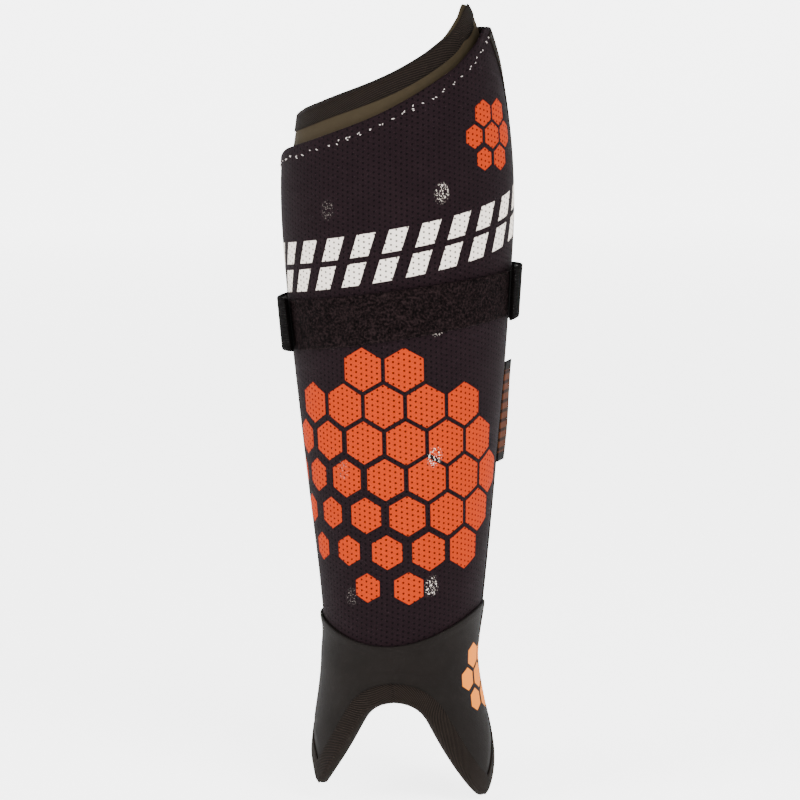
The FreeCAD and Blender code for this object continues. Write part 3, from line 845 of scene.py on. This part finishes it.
def label_weave():
    """A plain woven tag: a warm field with dark bars and black ends."""
    made = Surface("label_weave", 0.8, specular=0.03)
    x, y = made.cloth()
    bars = (y / 4.6).fract().fade(0.62, 0.7)
    ends = (y - 183).absolute().fade(19.5, 20.0)
    threads = (x * (2 * math.pi / 0.5)).sine() * 0.5 + 0.5
    made.colour((0.034, 0.0095, 0.0035), (bars, (0.0045, 0.0014, 0.0008)), (ends, (0.0012, 0.0008, 0.0008)))
    made.relief((threads, 0.05))
    return made.material


def thread(name, shade):
    made = Surface(name, 0.7, specular=0.2)
    made.colour(shade, (made.noise(2500, 2), tuple(value * 0.6 for value in shade)))
    return made.material


def shell_plastic():
    made = Surface("shell_plastic", 0.7, specular=0.1)
    made.colour((0.012, 0.012, 0.013), (made.noise(500, 3), (0.008, 0.008, 0.009)))
    made.relief((made.noise(1200, 2), 0.04))
    return made.material


# ---- Pieces ------------------------------------------------------------------------------------------

HEM_DEPTH = 5.0


def vent_holes():
    """The angle, level and radius of each vent, in two columns."""
    holes = []
    for row in range(VENT_ROWS):
        for side in (-1, 1):
            angle = side * VENT_ANGLE
            level = VENT_FIRST_LEVEL + VENT_PITCH * row
            level += BAND_SLOPE * float(across(angle, level))
            holes.append((angle, level, VENT_RADIUS))
    return holes


def cover_bottom(x):
    return seam_level(x) - SEAM_LAP


def top_path(outline):
    """The path along a top edge, from the inner back corner to the outer back corner."""
    share = np.linspace(-1, 1, 240)
    level = level_on(outline, share, 250, 395)
    return Path(edge_angle(share, level), level)


def facing(section, side):
    """A binding's section, for a path on the inner side (-1) or the outer side (+1) of the guard."""
    return section if side > 0 else [(-distance, offset) for distance, offset in section[::-1]]


def make_mesh_cover(material, thread_material):
    def puff(angle, level, near):
        """The turned hem along the top, and the groove of its stitches."""
        down = cover_top(angle, level) - level
        hem = 0.35 * smooth_step(HEM_DEPTH + 0.6, HEM_DEPTH - 0.6, down)
        return hem - 0.15 * np.exp(-(((down - HEM_DEPTH) / 0.5) ** 2))

    grid = panel(seen_from_front(cover_bottom), cover_top)
    cover = slab("mesh_cover_cloth", grid, (0, -COVER_THICKNESS), material, puff=puff)
    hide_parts("mesh_cover")
    flecks = fleck_routes(top_path(cover_top), -HEM_DEPTH, 5.5, seed=5)
    stitches = join_tubes("cover_hem_stitches", flecks, 0.26 * MM, thread_material)


def make_liner(foam_material, lining_material, tape_material):
    grid = panel(seen_from_front(cover_bottom), liner_top)
    shape = {"lean": leaning, "holes": vent_holes(), "slide": level_with_rim}
    liner = slab("foam_liner_pad", grid, (LINER_OUTSIDE, LINER_INSIDE), foam_material, **shape)
    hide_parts("foam_liner")
    lining = slab("inner_lining_cloth", grid, (LINING_OUTSIDE, LINING_INSIDE), lining_material, **shape)
    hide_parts("inner_lining")
    section = facing(fold_section(8.7, LINING_INSIDE, LINER_OUTSIDE), -1)
    edge = top_path(liner_top)
    tape = ribbon("liner_top_tape", edge, section, tape_material, leaning, slide=level_with_rim)
    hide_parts("liner_top_binding")


def make_side_bindings(material):
    section = fold_section(7.0, LINING_INSIDE, 0, past=1.0)
    for side, name in ((-1, "left"), (1, "right")):
        low = float(seam_level(side * 38)) + 0.5
        high = float(level_on(cover_top, np.array([float(side)]), 250, 395)[0]) - 0.3
        level = np.linspace(low, high, 200)
        path = Path(side * back_angle(level, side), level)
        tape = ribbon(f"side_tape_{name}", path, facing(section, side), material)
        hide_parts(f"side_binding_{name}")


BAND_END = math.radians(104)


def band_level(x):
    return BAND_LEVEL + BAND_SLOPE * x


def band_path(start, end, count=200):
    """A line round the leg at the band's slant, between two angles."""
    angle = np.linspace(start, end, count)
    level = np.full(count, BAND_LEVEL)
    for _ in range(30):
        level = band_level(across(angle, level))
    return Path(angle, level)


def band_point(angle, offset):
    """The middle of the band at this angle round the leg."""
    level = BAND_LEVEL
    for _ in range(30):
        level = band_level(float(across(angle, level)))
    return tuple(surface(angle, level, offset))


def make_band(material, pile_seed=3):
    path = band_path(-BAND_END, BAND_END)
    widen = np.interp(path.run, [0, path.run[-1]], [1.06, 0.9])
    band = ribbon("loop_band", path, flat_section(-11.75, 11.75, 0.1, 1.9, 0.8), material, widen=widen)
    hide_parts("front_loop_band")
    chance = random.Random(pile_seed)
    routes = []
    for _ in range(5200):
        run = chance.uniform(1, path.run[-1] - 1)
        share = np.interp(run, path.run, widen)
        beside = chance.uniform(-11.6, 11.6) * share
        reach = chance.uniform(0.5, 1.5)
        turn = chance.uniform(0, 2 * math.pi)
        height = chance.uniform(0.25, 0.75)
        route = []
        for part in (0, 0.35, 0.65, 1):
            along = run + math.cos(turn) * reach * part
            side = beside + math.sin(turn) * reach * part
            side = max(min(side, 11.9 * share), -11.9 * share)
            route.append(path.at(along, side, 1.8 + height * math.sin(math.pi * part)))
        routes.append(route)
    pile = join_tubes("loop_band_pile", routes, 0.06 * MM, material, sides=3)


HOOK_INSIDE, HOOK_OUTSIDE = 2.25, 3.45
WEB_INSIDE, WEB_OUTSIDE = 3.55, 5.15


def make_strap(web_material, hook_material):
    section = flat_section(-12.5, 12.5, WEB_INSIDE, WEB_OUTSIDE, 0.6)
    hook_section = flat_section(-11.6, 11.6, HOOK_INSIDE, HOOK_OUTSIDE, 0.4)
    hinge, tab_end, hook_end, strap_start = (math.radians(turn) for turn in (115, 127, 106, 118.5))
    tabs = (
        ("left", -1, 59, "guard", ("guard", "strap")),
        ("right", 1, 76, "outer_tab", ("outer_tab", "strap")),
    )
    for name, side, start, hook_body, joined in tabs:
        ends = sorted((side * math.radians(start), side * tab_end))
        tab = ribbon(f"hook_tab_{name}_webbing", band_path(*ends, 60), section, web_material, body=None)
        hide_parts(f"hook_tab_{name}")
        before, after = (band_point(side * (hinge + turn), WEB_INSIDE) for turn in (-0.09, 0.13))
        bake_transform(tab)
        patch_ends = sorted((side * math.radians(start + 2), side * hook_end))
        patch_path = band_path(*patch_ends, 50)
        patch = ribbon(f"hook_patch_{name}_tape", patch_path, hook_section, hook_material, body=hook_body)
        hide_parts(f"hook_patch_{name}")
    strap = ribbon(
        "calf_strap_elastic",
        band_path(strap_start, 2 * math.pi - strap_start),
        flat_section(-12.2, 12.2, WEB_INSIDE - 1.75, WEB_INSIDE - 0.15, 0.6),
        web_material,
        body="strap",
    )
    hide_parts("calf_strap")


def make_label(material):
    """A thin tag that stands out from the outer back edge."""
    low, high, reach, splay = 159.0, 207.0, 12.0, math.radians(8)
    inset, clear_of_tape, half_thickness = 5, 1.15, 0.3
    rows, columns = 24, 8
    points, uv = [], []
    for face in (half_thickness, -half_thickness):
        for level in np.linspace(low, high, rows):
            root = float(BACK[1](level)) - inset
            x = float(across(math.acos(-root / float(depth(level))), level)) + clear_of_tape
            for out in np.linspace(0, reach, columns):
                wave = 0.35 * math.sin((level - low) / 9.0) * out / reach
                sideways = x + out * math.sin(splay) + face + wave
                points.append(np.array([sideways, root + out * math.cos(splay), level]) * MM + LEG_AXIS)
                uv.append((out, level))
    front = grid_faces(rows, columns)
    back = front[:, ::-1] + rows * columns
    edges = open_edges(front)
    shift = rows * columns
    walls = np.stack([edges[:, 1], edges[:, 0], edges[:, 0] + shift, edges[:, 1] + shift], axis=-1)
    label = make_mesh("side_label_tag", points, np.concatenate([front, back, walls]), uv, material)
    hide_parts("side_label")


def ankle_layer(name, grid, offsets, material, joined, replaced, puff=None):
    """One layer of one half of the ankle protector: the fixed front and the lobe, in one piece."""
    piece = slab(name, grid, offsets, material, thinning, puff, body=None, joined=joined)
    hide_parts(*replaced)
    return piece


def make_ankle(knit, foam_material, lining_material, tape_material):
    def swell(angle, level, near):
        """The knit turned under at the seam, and domed by the foam."""
        lap = seam_level(across(angle, level)) - level
        return 0.45 * smooth_step(4.2, 2.6, lap) + 0.9 * smooth_step(8, 20, near)

    lower = seen_from_front(arch_level)
    lap_end = seen_from_front(lambda x: cover_bottom(x) - 0.5)
    crown = np.arcsin((ARCH_CENTRE - sway(ARCH_TOP)) / half_width(ARCH_TOP))
    middle = float(crown / back_angle(ARCH_TOP, 1))
    for side, name in ((-1, "left"), (1, "right")):
        shares = (-1.0, middle) if side < 0 else (middle, 1.0)
        joined = -1 if side < 0 else 0
        skin_grid = panel(lower, seen_from_front(seam_level), 1.5, *shares, bounds=(-6, 110))
        pad_grid = panel(lower, lap_end, 1.5, *shares, bounds=(-6, 110))
        skin = ankle_layer(
            f"ankle_cover_{name}_knit", skin_grid, (ANKLE_SKIN, 0.1), knit, joined,
            ("ankle_cover", f"ankle_cover_{name}"), swell,
        )
        pad = ankle_layer(
            f"ankle_foam_{name}_pad", pad_grid, (-0.05, -5.0), foam_material, joined,
            ("ankle_foam", f"ankle_foam_{name}"),
        )
        lining = ankle_layer(
            f"ankle_lining_{name}_cloth", pad_grid, (-5.1, ANKLE_INSIDE), lining_material, joined,
            ("ankle_lining", f"ankle_lining_{name}"),
        )
        section = facing(fold_section(8.8, ANKLE_INSIDE, ANKLE_SKIN), side)
        edge = ankle_edge_path(side, middle)
        tape = ribbon(f"ankle_tape_{name}", edge, section, tape_material, thinning, body=None)
        bindings = ("arch_binding", f"arch_binding_{name}", f"heel_binding_{name}", f"ankle_binding_{name}")
        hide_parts(*bindings)
        for piece in (skin, pad, lining, tape):
            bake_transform(piece)


def ankle_edge_path(side, middle):
    """From the middle of the arch down its leg, round the toe and up the back edge to the seam."""
    share = np.linspace(middle, side, 160)
    bottom = level_on(seen_from_front(arch_level), share, -6, 110)
    angle = edge_angle(share, bottom)
    up = np.linspace(bottom[-1] + 0.5, float(seam_level(side * 37)), 120)
    path = Path(np.concatenate([angle, side * back_angle(up, side)]), np.concatenate([bottom, up]))
    path.out[0] = (0, side)
    return path


# ---- Stage -------------------------------------------------------------------------------------------


def make_camera():
    """Slightly to the outer side and above, far back with a long lens, and rolled a little."""
    azimuth, elevation, roll = math.radians(8), math.radians(7), 0.0125
    distance, frame_width = 2.0, 0.3804
    away = Vector((
        math.sin(azimuth) * math.cos(elevation),
        -math.cos(azimuth) * math.cos(elevation),
        math.sin(elevation),
    ))
    right = Vector((math.cos(azimuth), math.sin(azimuth), 0))
    up = away.cross(right)
    turned_right = (right - up * roll).normalized()
    turned_up = (up + right * roll).normalized()
    target = Vector(LEG_AXIS) + Vector((0, 0, 0.190))
    camera = bpy.data.objects.new("camera", bpy.data.cameras.new("camera"))
    camera.data.lens = camera.data.sensor_width * distance / frame_width
    camera.data.clip_end = 20
    matrix = Matrix((turned_right, turned_up, away)).transposed().to_4x4()
    matrix.translation = target + away * distance
    camera.matrix_world = matrix
    bpy.context.scene.collection.objects.link(camera)
    bpy.context.scene.camera = camera


def area_light(name, where, target, size, power, tint=(1, 1, 1)):
    lamp = bpy.data.lights.new(name, "AREA")
    lamp.shape = "RECTANGLE"
    lamp.size, lamp.size_y = size
    lamp.energy = power
    lamp.color = tint
    light = bpy.data.objects.new(name, lamp)
    light.location = where
    light.rotation_euler = (Vector(target) - Vector(where)).to_track_quat("-Z", "Y").to_euler()
    bpy.context.scene.collection.objects.link(light)


def make_stage():
    """A pale bowl, floor and low wall in one sheet, with soft light from both sides."""
    reach, height, curve, sides = 4.2, 1.3, 0.8, 72
    turn = np.radians(np.linspace(0, 90, 13))
    out = np.concatenate([[0.0], reach - curve + curve * np.sin(turn), [reach]])[:, None]
    level = np.concatenate([[0.0], curve - curve * np.cos(turn), [height]])[:, None]
    round_it = np.linspace(0, 2 * math.pi, sides + 1)
    bowl = np.stack([out * np.cos(round_it), out * np.sin(round_it), level + 0 * round_it], axis=-1)
    points = bowl.reshape(-1, 3)
    pale = bpy.data.materials.new("backdrop")
    pale.use_nodes = True
    shader = pale.node_tree.nodes["Principled BSDF"]
    shader.inputs["Base Color"].default_value = (0.93, 0.93, 0.93, 1)
    shader.inputs["Roughness"].default_value = 0.9
    shader.inputs["Emission Color"].default_value = (1, 1, 1, 1)
    shader.inputs["Emission Strength"].default_value = 3.0
    sweep = make_mesh("backdrop", points, grid_faces(len(out), sides + 1), points[:, :2], pale, body=None)
    world = bpy.data.worlds.new("studio")
    world.use_nodes = True
    world.node_tree.nodes["Background"].inputs["Color"].default_value = (1, 1, 1, 1)
    world.node_tree.nodes["Background"].inputs["Strength"].default_value = 1.15
    bpy.context.scene.world = world
    middle = (0, 0, 0.2)
    area_light("key", (0.9, -1.3, 1.0), middle, (0.8, 1.2), 46)
    area_light("fill", (-1.2, -1.0, 0.7), middle, (0.7, 1.3), 26)


# ---- Scene -------------------------------------------------------------------------------------------

make_camera()
make_stage()

tape = twill("binding_tape", (0.0004, 0.0003, 0.0002), (0.0175, 0.0128, 0.0102))
foam_material = foam()
lining_material = lining_cloth()
pale_thread = thread("pale_thread", (0.42, 0.38, 0.36))

make_mesh_cover(mesh_fabric(), pale_thread)
make_liner(foam_material, lining_material, tape)
make_side_bindings(tape)
make_band(loop_pile())
make_strap(webbing(), hook_tape())
make_label(label_weave())
make_ankle(ankle_knit(), foam_material, lining_material, tape)
bpy.data.objects["hard_shell"].material_slots[0].material = shell_plastic()
